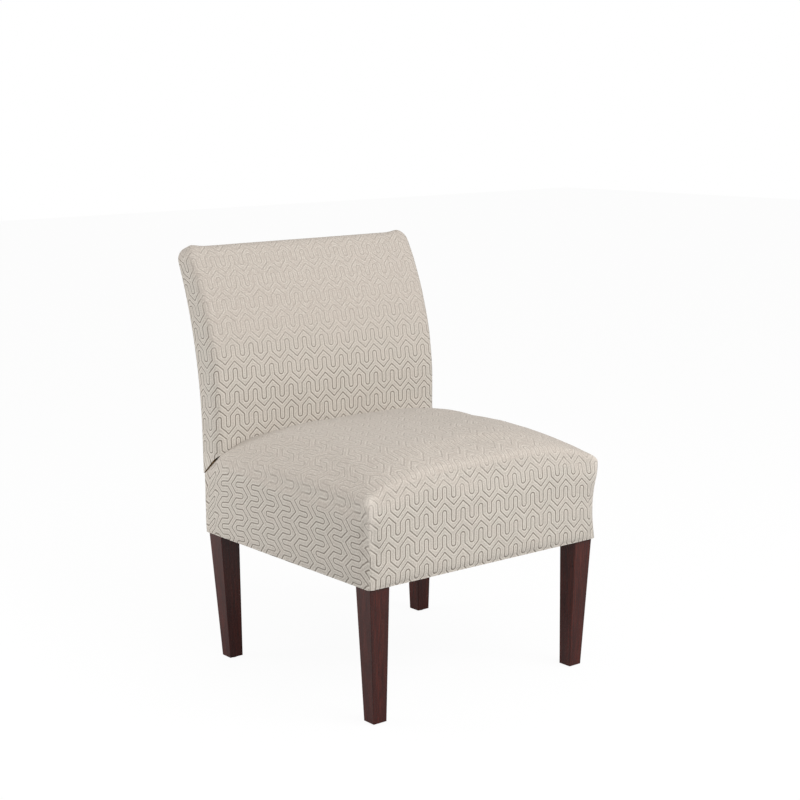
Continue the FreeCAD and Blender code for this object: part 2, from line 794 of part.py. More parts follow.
def back_form(label, inset, base, edge="Chamfer"):
    """The whole back panel, drawn in by an inset all round.

    Hidden layers are chamfered, which keeps them inside the rounded cover.
    """
    body = new_body(label)
    outline = new_sketch(body, "YZ_Plane")
    back_outline(outline, inset, base)
    half = "SeatWidth / 2 - (%s)" % inset
    extrude(body, "Pad", outline, "2 * (%s)" % half, middle=True)
    reach = number(half)
    floor = number(base)

    def on_side_face(edge):
        ends = [vertex.Point for vertex in edge.Vertexes]
        beside = all(abs(abs(point.x) - reach) < 0.01 for point in ends)
        crossing = ends[0].x * ends[-1].x < 0
        underneath = all(abs(point.z - floor) < 0.01 for point in ends)
        return beside and not crossing and not underneath

    ease_edges(body, edge, "BackEdgeRound - (%s)" % inset, on_side_face)
    return body


def curve_side(side, inset):
    """Face, centre and radius formulas of one swept side of the back."""
    if side == "front":
        return ("BackFront + (%s)" % inset, "FrontCentreY", "FrontCentreZ", "FrontCurveRadius - (%s)" % inset)
    return ("BackRear - (%s)" % inset, "RearCentreY", "RearCentreZ", "RearCurveRadius + (%s)" % inset)


def swept_slab(label, near, far, base, top, start, length):
    """A slab between two swept curves of the back, level at its foot and head.

    near and far are each a side of the back and an inset from it.
    """
    body = new_body(label)
    sketch = new_sketch(body, "YZ_Plane", start)
    head = number(top)
    foot = number(base)
    heads = []
    for side, inset in (near, far):
        face, centre_y, centre_z, radius = curve_side(side, inset)
        centre = flat(number(centre_y), number(centre_z))
        reach = number(radius)
        turn = math.pi - math.asin((head - centre.y) / reach)
        line = sketch.addGeometry(Part.LineSegment(flat(number(face), foot), flat(number(face), centre.y)), False)
        arc = sketch.addGeometry(arc_between(centre, reach, turn, math.pi), False)
        fix_point(sketch, line, 1, face, base)
        fix_point(sketch, line, 2, face, centre_z)
        sketch.addConstraint(Sketcher.Constraint("Coincident", line, 2, arc, 2))
        fix_point(sketch, arc, 3, centre_y, centre_z)
        fix_point(sketch, arc, 1, None, top)
        heads.append(polar(centre, reach, turn))
    foot_points = [flat(number(curve_side(*edge)[0]), foot) for edge in (near, far)]
    foot_line = sketch.addGeometry(Part.LineSegment(*foot_points), False)
    head_line = sketch.addGeometry(Part.LineSegment(*heads), False)
    sketch.addConstraint(Sketcher.Constraint("Coincident", foot_line, 1, 0, 1))
    sketch.addConstraint(Sketcher.Constraint("Coincident", foot_line, 2, 2, 1))
    sketch.addConstraint(Sketcher.Constraint("Coincident", head_line, 1, 1, 1))
    sketch.addConstraint(Sketcher.Constraint("Coincident", head_line, 2, 3, 1))
    extrude(body, "Pad", sketch, length)
    return body


def make_back_stiles():
    """Two posts sawn to the sweep of the back."""
    front = ("front", "StileFrontInset")
    rear = ("rear", "StileRearInset")
    starts = {"back_stile_left": "-FrameHalf", "back_stile_right": "FrameHalf - StileThickness"}
    outer_face = size("FrameHalf")
    middle = (size("BackRear") + size("BackFront")) / 2
    stiles = []
    for label, start in starts.items():
        stile = swept_slab(label, front, rear, "BackBase", "FrameTopZ", start, "StileThickness")

        def on_rear_outer_corner(edge):
            ends = [vertex.Point for vertex in edge.Vertexes]
            upright = abs(ends[0].z - ends[-1].z) > size("StileThickness")
            behind = min(point.y for point in ends) > middle
            return upright and behind and all(abs(abs(point.x) - outer_face) < 0.01 for point in ends)

        ease_edges(stile, "Chamfer", "StileEase", on_rear_outer_corner)
        stiles.append(stile)
    return stiles


def make_swept_rail(label, turn, height, thickness):
    """A flat board between the stiles, tipped to lie along the sweep."""
    rail = doc.addObject("Part::Box", label)
    rail.Label = label
    bind(rail, "Length", "2 * (FrameHalf - StileThickness)")
    bind(rail, "Width", thickness)
    bind(rail, "Height", height)
    rail.Placement.Rotation = FreeCAD.Rotation(FreeCAD.Vector(-1, 0, 0), 10)
    bind(rail, "Placement.Rotation.Angle", turn)
    bind(rail, "Placement.Base.x", "StileThickness - FrameHalf")
    lean = "FrontCentreY - RailCurveRadius * cos(%s) - %s / 2 * sin(%s)" % (turn, height, turn)
    rise = "FrontCentreZ + RailCurveRadius * sin(%s) - %s / 2 * cos(%s)" % (turn, height, turn)
    bind(rail, "Placement.Base.y", "SeatFront + " + lean)
    bind(rail, "Placement.Base.z", rise)
    return rail


def make_back_rails():
    length = "2 * (FrameHalf - StileThickness)"
    low = ("StileThickness - FrameHalf", "FrameRear - RailThickness", "BackBase")
    blank = board("back_rail_lower_blank", low, (length, "RailThickness", "LowerRailHeight"))
    lower = cut("back_rail_lower", blank, pilot_holes("back_rail_pilots"))
    middle = make_swept_rail("back_rail_middle", "MiddleRailTurn", "MiddleRailHeight", "MiddleRailThickness")
    crest = make_swept_rail("back_rail_crest", "CrestRailTurn", "CrestRailHeight", "CrestRailThickness")
    return [lower, middle, crest]


BACK_STRIPS = 4


def make_back_webbing():
    """Level strips stretched across the front edges of the stiles."""
    strips = []
    front = ("front", "FoamBack + LayerGap")
    rear = ("front", "StileFrontInset")
    half = "(FrameHalf - StileThickness + BackWebbingLap)"
    span = "FrameTopRise - BackWebbingStart - BackWebbingEnd - WebbingWidth"
    for index in range(BACK_STRIPS):
        label = "back_webbing_%d" % (index + 1)
        web = swept_slab(label + "_sweep", front, rear, "BackBase", "FrameTopZ", "-" + half, "2 * " + half)
        foot = "LedgeTop + BackWebbingStart + %d * (%s) / %d" % (index, span, BACK_STRIPS - 1)
        low = ("-SeatWidth / 2", "BackFront", foot)
        window = board(label + "_window", low, ("SeatWidth", "OverallDepth - BackFront", "WebbingWidth"))
        strips.append(common(label, web, window))
    return strips


def make_back_foam():
    """Foam in front of the frame that turns over its top."""
    form = back_form("back_foam_form", "FrameInset", "BackBase")
    beyond = ("rear", "-TopRound")
    top = "FrameTopZ + LayerGap"
    frame = swept_slab(
        "back_foam_frame", ("front", "FoamBack"), beyond, "BackBase - LayerGap", top, "-SeatWidth / 2", "SeatWidth"
    )
    return cut("back_foam", form, frame)


def make_back_batting():
    """Wadding between the foam and the cover on the front of the back."""
    near = ("front", "CoverThickness + LayerGap")
    far = ("front", "CoverThickness + LayerGap + BattingThickness")
    half = "(SeatWidth / 2 - BackEdgeRound)"
    return swept_slab("back_batting", near, far, "BackBase", "FrameTopZ", "-" + half, "2 * " + half)


def panel_tool(label, slack):
    """The stretch of the back's shell that the outside panel covers."""
    half = "(SeatWidth / 2 - BackEdgeRound + (%s))" % slack
    near = ("rear", "CoverThickness + LayerGap")
    beyond = ("rear", "-TopRound")
    top = "TopRearZ + (%s)" % slack
    return swept_slab(label, near, beyond, "BackBase - LayerGap", top, "-" + half, "2 * " + half)


def make_back_covers():
    """The inside cover over front, sides and top, and the outside panel set into its rear."""
    outer = back_form("back_cover_outer", "0", "BackBase", "Fillet")
    inner = back_form("back_cover_inner", "CoverThickness", "BackBase - LayerGap")
    shell = cut("back_cover_shell", outer, inner)
    inside = cut("back_cover_inside", shell, panel_tool("back_cover_gap", "LayerGap"))
    outside = common("back_cover_outside", shell, panel_tool("back_cover_panel", "0"))
    return [inside, outside]


def make_back_liner():
    """Card behind the outside panel, stapled to the rear of the stiles."""
    near = ("rear", "CoverThickness + LayerGap")
    far = ("rear", "CoverThickness + LayerGap + LinerThickness")
    half = "(SeatWidth / 2 - BackEdgeRound)"
    top = "TopRearZ - TopRound"
    return swept_slab("back_liner", near, far, "BackBase", top, "-" + half, "2 * " + half)


def make_joining_plates():
    """Two flat steel plates that screw the back to the rear rail of the seat."""
    plates = []
    for name, side in (("left", "-"), ("right", "")):
        low = (side + "PlateAcross - PlateWidth / 2", "FrameRear", "LedgeTop - PlateDrop")
        blank = board("plate_blank_" + name, low, ("PlateWidth", "PlateThickness", "PlateDrop + PlateRise"))
        holes = pilot_holes("plate_holes_" + name)
        plates.append(cut("joining_plate_" + name, blank, holes))
    return plates


def make_plate_screws():
    head_start = PLATE_FACE + " + ScrewHeadHeight"
    heads = plate_screw_rods("screw_head", "ScrewHeadRadius", head_start, "ScrewHeadHeight")
    shanks = plate_screw_rods("screw_shank", "ScrewRadius", head_start, "ScrewHeadHeight + ScrewLength")
    screws = []
    for index, (head, shank) in enumerate(zip(heads, shanks)):
        screw = doc.addObject("Part::Fuse", "plate_screw_%d" % (index + 1))
        screw.Base = head
        screw.Tool = shank
        screws.append(screw)
    return group("plate_screws", screws)


def check_document():
    """Stops before anything is written if an object failed."""
    for item in doc.Objects:
        if "Invalid" in item.State or "Error" in item.State:
            raise RuntimeError("%s failed" % item.Label)


def write_parts(pieces):
    os.makedirs("parts", exist_ok=True)
    for piece in pieces:
        shape = piece.Shape
        if shape.isNull() or not shape.isValid():
            raise RuntimeError("%s has a bad shape" % piece.Label)
    for piece in pieces:
        piece.Shape.exportStep("parts/%s.step" % piece.Label)


pieces = [make_leg(corner) for corner in CORNERS]
pieces += [make_corner_block(corner) for corner in CORNERS]
pieces += [make_glides(), make_leg_bolts(), make_leg_nuts()]
pieces += make_seat_rails()
pieces += make_seat_webbing()
pieces += [make_seat_decking(), make_seat_foam(), make_seat_batting(), make_ledge_batting()]
pieces += [make_seat_cover(), make_dust_cover()]
pieces += make_back_stiles()
pieces += make_back_rails()
pieces += make_back_webbing()
pieces += [make_back_foam(), make_back_batting(), make_back_liner()]
pieces += make_back_covers()
pieces += make_joining_plates()
pieces.append(make_plate_screws())
doc.recompute()
check_document()
write_parts(pieces)
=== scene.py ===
import json
import math

import bpy
from mathutils import Matrix, Vector, noise


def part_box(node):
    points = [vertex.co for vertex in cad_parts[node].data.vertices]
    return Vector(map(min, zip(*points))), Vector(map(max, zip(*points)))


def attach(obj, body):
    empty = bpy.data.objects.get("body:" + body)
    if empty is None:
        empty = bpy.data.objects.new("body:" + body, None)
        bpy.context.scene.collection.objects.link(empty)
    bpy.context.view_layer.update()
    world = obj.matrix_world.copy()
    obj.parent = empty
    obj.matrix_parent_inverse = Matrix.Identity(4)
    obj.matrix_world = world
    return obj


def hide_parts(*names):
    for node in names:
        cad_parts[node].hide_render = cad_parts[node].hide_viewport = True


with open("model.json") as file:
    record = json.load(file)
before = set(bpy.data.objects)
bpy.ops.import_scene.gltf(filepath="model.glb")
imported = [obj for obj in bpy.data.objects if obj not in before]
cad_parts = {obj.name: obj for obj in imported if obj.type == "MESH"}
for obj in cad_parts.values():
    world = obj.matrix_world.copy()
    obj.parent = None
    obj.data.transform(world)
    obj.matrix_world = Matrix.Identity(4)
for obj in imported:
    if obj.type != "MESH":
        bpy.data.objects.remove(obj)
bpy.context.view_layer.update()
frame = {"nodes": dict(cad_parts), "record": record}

# Armless slipper chair in a pale jacquard on dark lacquered legs. Metres, +Z up,
# front towards -Y. Depths are measured backwards from the front of the seat.

seat_low, seat_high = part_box("seat_cover")
SEAT_FRONT = seat_low[1]
HALF_WIDTH = seat_high[0]
HEM_HEIGHT = seat_low[2]
SEAT_DEPTH = seat_high[1] - seat_low[1]

# The crown of the seat, as a height over the plan: a power curve across and along to its
# peak, a parabola from the peak back to the crease, and a straight fall behind it.
CREASE_DEPTH = 0.494
CROWN_BASE = 0.4131
CROWN_RISE = 0.0787
CROWN_HALF_WIDTH = 0.2939
CROWN_PEAK_DEPTH = 0.3079
CROWN_FRONT_REACH = 0.0139
CROWN_REAR_SHARE = 0.614
CROWN_SIDE_POWER = 4.19
CROWN_SIDE_ROOT = 1.105
CROWN_FRONT_POWER = 3.87
CROWN_FRONT_ROOT = 3.90
REAR_STEP_HEIGHT = 0.3825
SEAT_EDGE_RADIUS = 0.009

# Full corners at the front of the seat, and the tuck down each side just behind them.
SEAT_TOP = 0.440
EAR_HEIGHT = 0.412
EAR_SPREAD = 0.046
EAR_WIDTH = 0.030
EAR_OUT = 0.010
EAR_SIDEWAYS = 0.75
EAR_FORWARDS = 0.55
TUCK_PLACE = 0.013
TUCK_WIDTH = 0.0035
TUCK_DEPTH = 0.0016
TUCK_FOOT = 0.335
TUCK_TOP = 0.385

# A grid point this near a side of its box lies on that side.
ON_FACE = 0.001

# Spacing of the grid on open faces, and of its lines beside a rounded edge.
GRID_STEP = 0.008
EDGE_STEP = 0.003

# The sweep of the back: arcs in side view, the line of its top, and its small raised ears.
BACK_FRONT = 0.4943
BACK_FRONT_RADIUS = 0.580
BACK_FRONT_BEND = 0.5195
BACK_REAR = 0.560
BACK_REAR_RADIUS = 0.930
BACK_REAR_BEND = 0.4495
BACK_TOP = 0.8385
BACK_TOP_FALL = 0.017
BACK_EDGE_RADIUS = 0.016
BACK_CORNER_RADIUS = 0.022
BACK_THICKNESS = 0.060
BACK_FOOT = 0.381
BACK_FOOT_FRONT = 0.428
SWEEP_FOOT = 0.300
BACK_EAR = 0.0035
BACK_EAR_INSET = 0.020
BACK_EAR_WIDTH = 0.016

# Dents and swells of the padding, as pairs of their size and depth, calm near the hem.
SEAT_DENTS = ((0.070, 0.0016), (0.028, 0.0007))
BACK_DENTS = ((0.085, 0.0018), (0.035, 0.0007))
SHEET_DENTS = ((0.045, 0.0005),)
CALM_HEM = 0.03

# The cloth that is let swell and tighten over the padding, and the most it may move.
CLOTH_PRESSURE = 1.5
CLOTH_FRAMES = 20
SEAT_SWELL = 0.004
BACK_SWELL = 0.004
CLOTH_STIFFNESS = 60
CLOTH_SHEAR_STIFFNESS = 12
CLOTH_BENDING_STIFFNESS = 0.5
CLOTH_MASS = 0.3
HELD_HEM = 0.004
HELD_CREASE = 0.03
SEAT_HELD_TURN = 0.5
BACK_HELD_TURN = 0.3

# The outside panel: its outline on the rear of the back, and its turned edges.
PANEL_INSET = 0.018
PANEL_FOOT = 0.3795
PANEL_TOP = 0.805
PANEL_LIFT = 0.0013
PANEL_SUNK = -0.0008
PANEL_HEM = 0.004

# The sheet under the seat.
SHEET_SAG = 0.0015
LEG_SLACK = 0.0005
SHEET_STEP = 0.012
SHEET_NOTCH_STEPS = 3

# One repeat of the pattern, across and along, on each kind of panel.
REPEAT_ACROSS = 0.0434
REPEAT_ALONG = 0.0462
REPEAT_TOP = 0.054
SIDE_REPEAT_ACROSS = 0.0438

# Where the repeat falls on each panel, in repeats, and how far its rows bow down at the corners.
SEAT_SHIFT_ACROSS = 0.53
SEAT_SHIFT_ALONG = 0.5
SIDE_SHIFT_ACROSS = 0.18
SIDE_SHIFT_ALONG = -0.045
FRONT_BOW = 0.57
BACK_SHIFT_ACROSS = 0.2
BACK_SHIFT_ALONG = 0.15
BOW_POWER = 4
SIDE_SHIFT_FALL = 0.04
FRONT_BLEND = 0.15

# The painted highlight up each front corner of the seat, where the cloth folds, and the drop
# below the crown over which the woven line, faded on the top by painted sheen, comes back to full strength.
FOLD_HIGHLIGHT_WIDTH = 0.009
FOLD_HIGHLIGHT_FOOT = 0.29
FOLD_HIGHLIGHT_TOP = 0.37
FADE_START = 0.002
FADE_END = 0.026

# The woven line, in millimetres within one repeat: up a slope from a point, straight
# up, and round over the top. The second line is the first one turned half round.
LINE_NECK = 5.1
LINE_SLOPE_TOP = 15.2
LINE_NECK_TOP = 32.2
LINE_TURN_HEIGHT = 51.5

# Where a repeat starts and ends for the folded line, as shares of its height.
WRAP_FOOT = -0.1
WRAP_TOP = 0.9

# Across the line, in millimetres: its groove, the rim beside it with its painted highlight, and how far it
# strays.
GROOVE_CORE = 0.35
GROOVE_EDGE = 1.65
RIM_START = 1.0
RIM_FULL = 2.0
RIM_FADE = 2.2
RIM_END = 4.2
LINE_STRAY = 1.1

# Turn of the wave of the ribs, in radians to the millimetre, along and across the cloth.
RIB_TURN = 9.0
CROSS_RIB_TURN = 7.0

# Millimetres in a metre.
MM = 1000

# Colours as they look on screen.
FABRIC_PALE = (196, 190, 181)
FABRIC_WARM = (200, 190, 181)
# The top colour below is painted shade, darkening the cloth where it faces up.
FABRIC_TOP_SHADED = (192, 179, 170)
FABRIC_SHADE = (176, 168, 158)
# The next colour is both the pale slubs of the yarn and the painted highlight on the rim beside the line.
FABRIC_PALE_SLUB_AND_HIGHLIGHT = (216, 210, 200)
FABRIC_LINE = (128, 119, 109)
# The fold colour below is a painted highlight up the front corners of the seat.
FABRIC_FOLD_HIGHLIGHT = (226, 218, 208)
WOOD_DEEP = (54, 18, 13)
WOOD_WARM = (80, 31, 23)
WOOD_FIGURE = (43, 17, 15)
WOOD_PORE = (24, 9, 8)

# Finishes of the plain parts: name, colour, roughness, scale of the speckle, depth of its
# bump, and metal or not.
PLAIN_FINISHES = {
    "frame_wood": ("planed_hardwood", (190, 156, 112), 0.6, 140, 0.3, 0.0),
    "zinc_steel": ("zinc_plate", (180, 182, 186), 0.35, 300, 0.1, 1.0),
    "webbing": ("jute_webbing", (166, 142, 104), 0.9, 500, 0.5, 0.0),
    "liner_card": ("pressed_card", (158, 134, 104), 0.85, 350, 0.3, 0.0),
    "foam": ("foam", (232, 222, 190), 0.9, 600, 0.4, 0.0),
    "wadding": ("wadding", (236, 236, 232), 0.95, 250, 0.5, 0.0),
    "decking_cloth": ("decking_cloth", (206, 198, 180), 0.9, 900, 0.4, 0.0),
    "dust_cloth": ("dust_cloth", (30, 30, 31), 0.9, 1200, 0.5, 0.0),
    "glide_plastic": ("black_nylon", (26, 25, 25), 0.5, 200, 0.1, 0.0),
}
SPECKLE_SHADE = 0.75

# The view and the light of the photograph.
CAMERA_PLACE = Vector((-2.0031, -2.6045, 1.1295))
CAMERA_AZIMUTH = math.radians(-38.11)
CAMERA_ELEVATION = math.radians(10.35)
CAMERA_ROLL = math.radians(-0.67)
CAMERA_LENS = 75.7
WORLD_STRENGTH = 0.58
FLOOR_HALF_SIZE = 12.0
FLOOR_BOUNCE = 0.42
FLOOR_GLOW = 0.94

# Lamps: name, place, target, width, height and power.
LAMPS = (
    ("key", (0.9, -2.9, 2.3), (0, 0, 0.45), 2.4, 2.0, 80),
    ("fill", (-1.5, -3.0, 2.6), (0, 0, 0.5), 2.5, 2.5, 38),
    ("edge", (-1.7, 1.25, 0.42), (-0.2, 0, 0.2), 0.9, 0.75, 20),
)


def smooth(low, high, value):
    """A smooth step from 0 at low to 1 at high."""
    share = min(max((value - low) / (high - low), 0.0), 1.0)
    return share * share * (3 - 2 * share)


def blend(low, high, share):
    """The value a share of the way from low to high."""
    return low + (high - low) * share


# Geometry


def spaced(low, high, radius):
    """Grid lines from low to high, closer where both ends round off."""
    ends = [radius * (1 - math.tan(math.radians(turn))) for turn in (45, 30, 15, 0)]
    ends += [radius + EDGE_STEP, radius + 2 * EDGE_STEP]
    inner_low, inner_high = low + ends[-1], high - ends[-1]
    count = max(int(round((inner_high - inner_low) / GRID_STEP)), 1)
    middle = [blend(inner_low, inner_high, step / count) for step in range(1, count)]
    return [low + end for end in ends] + middle + [high - end for end in reversed(ends)]


def round_box(point, low, high, radius):
    """Moves a point of a sharp box onto the same box with rounded edges."""
    inner = Vector([min(max(value, a + radius), b - radius) for value, a, b in zip(point, low, high)])
    away = point - inner
    if away.length < 1e-9:
        return point
    return inner + away.normalized() * radius


def crown_height(across, depth):
    """Height of the upholstered seat over its plan."""
    side = (1 - (abs(across) / CROWN_HALF_WIDTH) ** CROWN_SIDE_POWER) ** (1 / CROWN_SIDE_ROOT)
    if depth < CROWN_PEAK_DEPTH:
        share = (CROWN_PEAK_DEPTH - depth) / (CROWN_PEAK_DEPTH + CROWN_FRONT_REACH)
        along = (1 - share ** CROWN_FRONT_POWER) ** (1 / CROWN_FRONT_ROOT)
    else:
        share = min((depth - CROWN_PEAK_DEPTH) / (CREASE_DEPTH - CROWN_PEAK_DEPTH), 1.0)
        along = 1 - (1 - CROWN_REAR_SHARE) * share * share
    height = CROWN_BASE + CROWN_RISE * side * along
    if depth > CREASE_DEPTH:
        fall = (depth - CREASE_DEPTH) / (SEAT_DEPTH - CREASE_DEPTH)
        height = blend(height, REAR_STEP_HEIGHT, fall)
    return height


class Skin:
    """The surface of a box as quads on named panels, with a shape and cloth coordinates."""

    def __init__(self, xs, ys, zs, shape):
        self.xs, self.ys, self.zs = xs, ys, zs
        self.last = (len(xs) - 1, len(ys) - 1, len(zs) - 1)
        self.shape = shape
        self.points = {}
        self.faces = []

    def point(self, key):
        if key not in self.points:
            i, j, k = key
            self.points[key] = self.shape(self.xs[i], self.ys[j], self.zs[k])
        return self.points[key]

    def panel(self, name):
        """Adds the quads of one side of the box, with their normals outwards."""
        nx, ny, nz = self.last
        planes = {
            "front": (nx, nz, lambda a, b: (a, 0, b), False),
            "rear": (nx, nz, lambda a, b: (a, ny, b), True),
            "left": (ny, nz, lambda a, b: (0, a, b), True),
            "right": (ny, nz, lambda a, b: (nx, a, b), False),
            "top": (nx, ny, lambda a, b: (a, b, nz), False),
        }
        count_a, count_b, key, flip = planes[name]
        for a in range(count_a):
            for b in range(count_b):
                corners = [key(a, b), key(a + 1, b), key(a + 1, b + 1), key(a, b + 1)]
                if flip:
                    corners.reverse()
                self.faces.append((name, corners))

    def run(self, keys):
        """Distance along the surface from the first of the keys to each of them."""
        total = 0.0
        lengths = [0.0]
        for first, second in zip(keys, keys[1:]):
            total += (self.point(second) - self.point(first)).length
            lengths.append(total)
        return lengths

    def mesh(self, name, cloth):
        """Makes the piece, with the cloth coordinates of each corner from a function."""
        order = {}
        for _, corners in self.faces:
            for key in corners:
                self.point(key)
                order.setdefault(key, len(order))
        mesh = bpy.data.meshes.new(name)
        coords = [tuple(self.points[key]) for key in order]
        mesh.from_pydata(coords, [], [[order[key] for key in corners] for _, corners in self.faces])
        layer = mesh.uv_layers.new(name="Cloth")
        index = 0
        for panel, corners in self.faces:
            for key in corners:
                layer.data[index].uv = cloth(panel, key)
                index += 1
        mesh.shade_smooth()
        piece = bpy.data.objects.new(name, mesh)
        bpy.context.collection.objects.link(piece)
        return piece


def uneven(place, dents):
    """Soft dents and swells of padding under the cloth, the same in every run."""
    return sum(noise.noise(place / size) * depth for size, depth in dents)


def settle(piece, held, cap):
    """Lets the cloth swell and tighten over its padding, with its held points in place."""
    mesh = piece.data
    start = [vertex.co.copy() for vertex in mesh.vertices]
    group = piece.vertex_groups.new(name="held")
    group.add([vertex.index for vertex in mesh.vertices if held(vertex)], 1.0, "REPLACE")
    cloth = piece.modifiers.new("Cloth", "CLOTH")
    settings = cloth.settings
    settings.quality = 5
    settings.mass = CLOTH_MASS
    settings.tension_stiffness = CLOTH_STIFFNESS
    settings.compression_stiffness = CLOTH_STIFFNESS
    settings.shear_stiffness = CLOTH_SHEAR_STIFFNESS
    settings.bending_stiffness = CLOTH_BENDING_STIFFNESS
    settings.use_pressure = True
    settings.uniform_pressure_force = CLOTH_PRESSURE
    settings.vertex_group_mass = group.name
    settings.effector_weights.gravity = 0
    cloth.collision_settings.use_collision = False
    for step in range(CLOTH_FRAMES):
        bpy.context.scene.frame_set(step + 1)
    settled = piece.evaluated_get(bpy.context.evaluated_depsgraph_get())
    goals = [vertex.co.copy() for vertex in settled.data.vertices]
    piece.modifiers.remove(cloth)
    for vertex, place, goal in zip(mesh.vertices, start, goals):
        move = goal - place
        if move.length > 1e-9:
            move *= cap * math.tanh(move.length / cap) / move.length
        vertex.co = place + move
    bpy.context.scene.frame_set(1)
    mesh.update()


def seat_held(vertex):
    """The hem and the rear of the seat are fixed to the frame."""
    return vertex.co.z < HEM_HEIGHT + HELD_HEM or vertex.normal.y > SEAT_HELD_TURN


def back_held(vertex):
    """The back is fixed low down in the crease and over its rear."""
    return vertex.co.z < CROWN_BASE + HELD_CREASE or vertex.normal.y > BACK_HELD_TURN


def subdivide(piece):
    """Smooths the grid once more without moving its cloth coordinates."""
    smoother = piece.modifiers.new("Subdivision", "SUBSURF")
    smoother.levels = 1
    smoother.render_levels = 1
    smoother.uv_smooth = "NONE"


# Seat


def seat_shape(x, y, z):
    """A point of the seat: a rounded box drawn up to the crown, with full front corners."""
    low = Vector((-HALF_WIDTH, 0, HEM_HEIGHT - 2 * SEAT_EDGE_RADIUS))
    high = Vector((HALF_WIDTH, SEAT_DEPTH, SEAT_TOP))
    place = round_box(Vector((x, y, z)), low, high, SEAT_EDGE_RADIUS)
    share = (place.z - HEM_HEIGHT) / (SEAT_TOP - HEM_HEIGHT)
    place.z = blend(HEM_HEIGHT, crown_height(place.x, place.y), share)
    reach = math.hypot(HALF_WIDTH - abs(place.x), place.y)
    swell = EAR_OUT * math.exp(-((place.z - EAR_HEIGHT) / EAR_SPREAD) ** 2 - (reach / EAR_WIDTH) ** 2)
    place.x += math.copysign(swell * EAR_SIDEWAYS, place.x)
    place.y -= swell * EAR_FORWARDS
    dent = uneven(place, SEAT_DENTS) * smooth(HEM_HEIGHT, HEM_HEIGHT + CALM_HEM, place.z)
    on_side = abs(x) > HALF_WIDTH - ON_FACE
    on_top = z > SEAT_TOP - ON_FACE
    if on_side and not on_top:
        tuck = math.exp(-((place.y - TUCK_PLACE) / TUCK_WIDTH) ** 2)
        tuck *= smooth(TUCK_FOOT, TUCK_TOP, place.z)
        place.x += math.copysign(dent - tuck * TUCK_DEPTH, place.x)
    elif on_top:
        place.z += dent
    else:
        place.y -= dent
    place.y += SEAT_FRONT
    return place


def make_seat():
    xs = spaced(-HALF_WIDTH, HALF_WIDTH, SEAT_EDGE_RADIUS)
    ys = spaced(0, SEAT_DEPTH, SEAT_EDGE_RADIUS)
    zs = [z for z in spaced(HEM_HEIGHT - SEAT_EDGE_RADIUS, SEAT_TOP, SEAT_EDGE_RADIUS) if z >= HEM_HEIGHT]
    if zs[0] > HEM_HEIGHT + 1e-6:
        zs.insert(0, HEM_HEIGHT)
    skin = Skin(xs, ys, zs, seat_shape)
    for name in ("top", "front", "left", "right", "rear"):
        skin.panel(name)
    nx, ny, nz = skin.last
    middle = nx // 2
    runs = {}

    def run(name, keys, index, origin=0):
        """Distance along a named line of the surface, measured from one of its points."""
        if name not in runs:
            runs[name] = skin.run(keys)
        return runs[name][index] - runs[name][origin]

    def across_row(i, j, k):
        return run(("across", j, k), [(step, j, k) for step in range(nx + 1)], i, middle)

    def along_row(i, j, k):
        return run(("along", i, k), [(i, step, k) for step in range(ny + 1)], j)

    def drop(i, j, k):
        return run(("drop", i, j), [(i, j, level) for level in range(nz, -1, -1)], nz - k)

    def cloth(panel, key):
        i, j, k = key
        u = across_row(i, j, nz) / REPEAT_ACROSS
        v = along_row(i, j, nz) / REPEAT_TOP
        if panel in ("left", "right"):
            side = -1 if panel == "left" else 1
            fall = drop(*key)
            u += side * (fall / SIDE_REPEAT_ACROSS - SIDE_SHIFT_ACROSS * smooth(0, SIDE_SHIFT_FALL, fall))
            return (u + SEAT_SHIFT_ACROSS, along_row(*key) / REPEAT_TOP + SIDE_SHIFT_ALONG)
        if panel == "front":
            u = across_row(*key) / REPEAT_ACROSS
            v -= drop(*key) / REPEAT_ALONG
        elif panel == "rear":
            u = across_row(*key) / REPEAT_ACROSS
            v += drop(*key) / REPEAT_ALONG
        near_front = 1 - smooth(0, FRONT_BLEND, along_row(i, j, nz)) if panel == "top" else 1
        bow = FRONT_BOW * min(abs(skin.xs[i]) / HALF_WIDTH, 1) ** BOW_POWER
        v += near_front * (SEAT_SHIFT_ALONG - SIDE_SHIFT_ALONG - bow) + SIDE_SHIFT_ALONG
        return (u + SEAT_SHIFT_ACROSS, v)

    piece = skin.mesh("seat_upholstery", cloth)
    # Mask of the painted highlight up each front corner.
    fold_highlight = piece.data.attributes.new("fold_highlight", "FLOAT", "POINT")
    for vertex, value in zip(piece.data.vertices, fold_highlight.data):
        reach = math.hypot(HALF_WIDTH - abs(vertex.co.x), vertex.co.y - SEAT_FRONT)
        value.value = math.exp(-(reach / FOLD_HIGHLIGHT_WIDTH) ** 2) * smooth(FOLD_HIGHLIGHT_FOOT, FOLD_HIGHLIGHT_TOP, vertex.co.z)
    # Mask of the painted sheen and shade near the top of the crown.
    painted_crown_sheen = piece.data.attributes.new("painted_crown_sheen", "FLOAT", "POINT")
    for vertex, value in zip(piece.data.vertices, painted_crown_sheen.data):
        x = min(abs(vertex.co.x), HALF_WIDTH)
        y = min(max(vertex.co.y - SEAT_FRONT, 0), SEAT_DEPTH)
        value.value = 1 - smooth(FADE_START, FADE_END, crown_height(x, y) - vertex.co.z)
    return piece


# Back


def arc_depth(face, radius, bend, z):
    """Depth of a swept face of the back at a height."""
    rise = max(z - bend, 0.0)
    return face + radius - math.sqrt(radius * radius - rise * rise)


def back_foot(y):
    """Height of the foot of the back, which follows the seat's fall behind the crease."""
    share = min(max((y - CREASE_DEPTH) / (SEAT_DEPTH - CREASE_DEPTH), 0.0), 1.0)
    return blend(BACK_FOOT_FRONT, BACK_FOOT, share)


